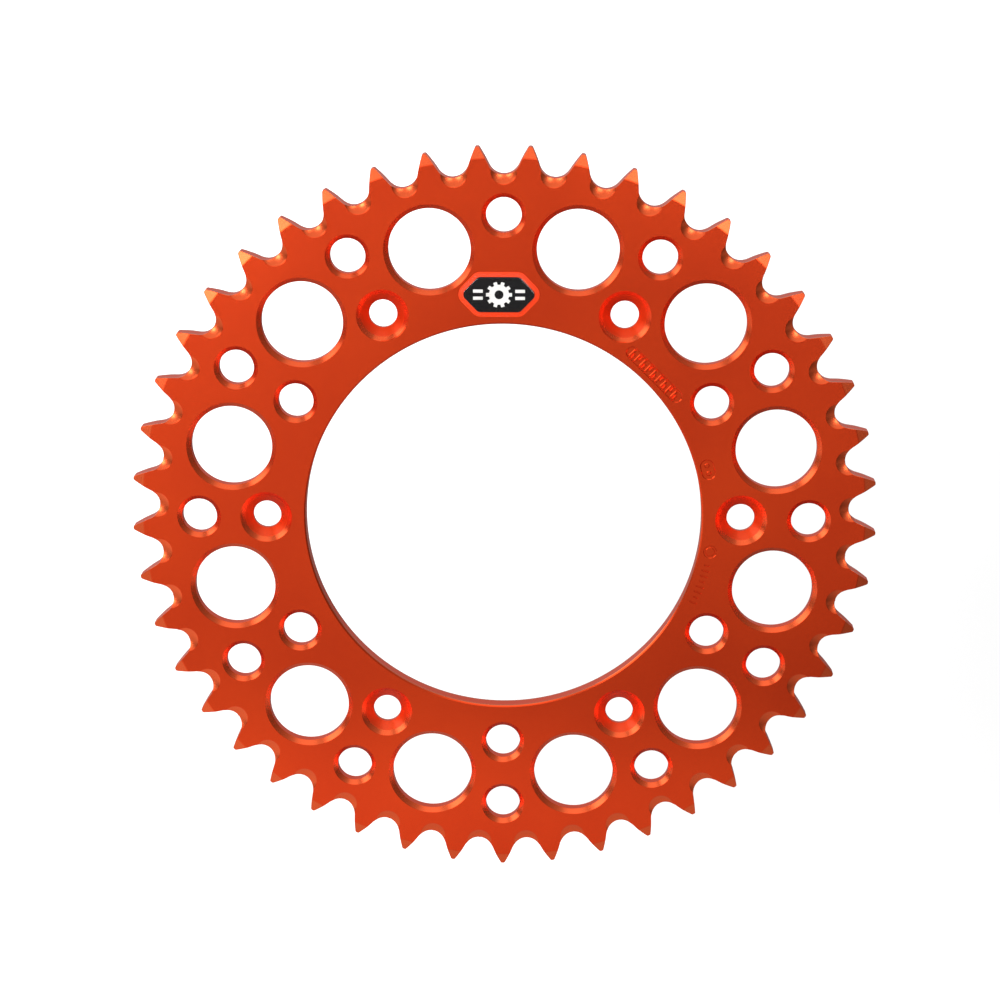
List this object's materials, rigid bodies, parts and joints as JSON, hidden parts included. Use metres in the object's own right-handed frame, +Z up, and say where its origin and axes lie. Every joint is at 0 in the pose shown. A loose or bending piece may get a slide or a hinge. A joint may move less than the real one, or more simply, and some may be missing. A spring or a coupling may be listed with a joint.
{
  "type": "motorcycle rear sprocket",
  "caption": "Flat toothed ring that a roller chain drives, with a large centre bore, countersunk bolt holes and rows of round lightening holes.",
  "frame": {"origin": "centre of the bore, on the middle plane of the teeth, which is the chain line", "axes": "+Y along the wheel axis towards the hub, -Y outboard, +Z up, with a tooth gap at the top and a tooth at the bottom"},
  "size_m": [0.2348, 0.0072, 0.2346],
  "materials": {
    "orange_anodised": "satin orange anodised",
    "orange_vinyl": "gloss",
    "black_print": "gloss",
    "silver_foil": "satin foil",
    "clear_resin": "clear gloss"
  },
  "bodies": {
    "root": {"sprocket_plate": "orange_anodised", "badge_label": "orange_vinyl", "badge_panel": "black_print", "badge_emblem": "silver_foil", "badge_dome": "clear_resin"}
  },
  "joints": []
}
